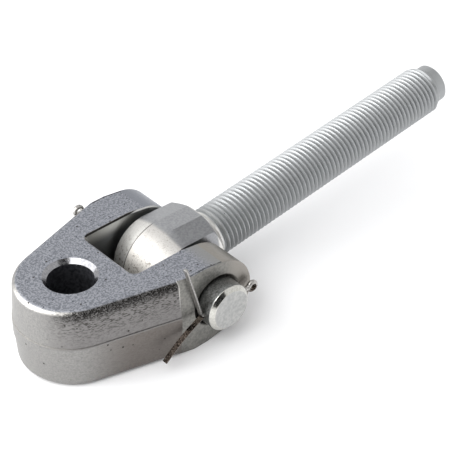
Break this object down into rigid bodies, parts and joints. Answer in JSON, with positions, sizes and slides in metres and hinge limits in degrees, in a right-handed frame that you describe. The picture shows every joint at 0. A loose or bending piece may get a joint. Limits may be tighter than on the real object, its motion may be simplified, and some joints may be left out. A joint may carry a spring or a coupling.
{
  "type": "clevis rod end",
  "caption": "Forged yoke with a hitch pin hole in its nose and, in its slot, a long threaded eye bolt that swings on a clevis pin kept by split pins.",
  "frame": {"origin": "centre of the hitch bore at the yoke's mid-height", "axes": "+X along the yoke towards the threaded shank, +Z along the hitch bore, +Y along the clevis pin"},
  "size_m": [0.3154, 0.1104, 0.0659],
  "materials": {
    "forging": "zinc-plated over a blasted forging, grey, grainy",
    "bolt_steel": "zinc-plated, satin, cut thread",
    "pin_steel": "zinc-plated turned steel, satin",
    "wire_steel": "zinc-plated drawn wire, scratched"
  },
  "bodies": {
    "yoke": {"yoke": "forging"},
    "pin": {"clevis_pin": "pin_steel", "cotter_pin_near": "wire_steel", "cotter_pin_far": "wire_steel"},
    "eye_bolt": {"eye_bolt": "bolt_steel"}
  },
  "joints": [
    {"name": "pin_turn", "type": "hinge", "parent": "yoke", "child": "pin", "pos_m": [0.065, 0, 0], "axis": [0, 1, 0], "continuous": true},
    {"name": "rod_swing", "type": "hinge", "parent": "yoke", "child": "eye_bolt", "pos_m": [0.065, 0, 0], "axis": [0, -1, 0], "range_deg": [-133.5, 119.5]}
  ]
}
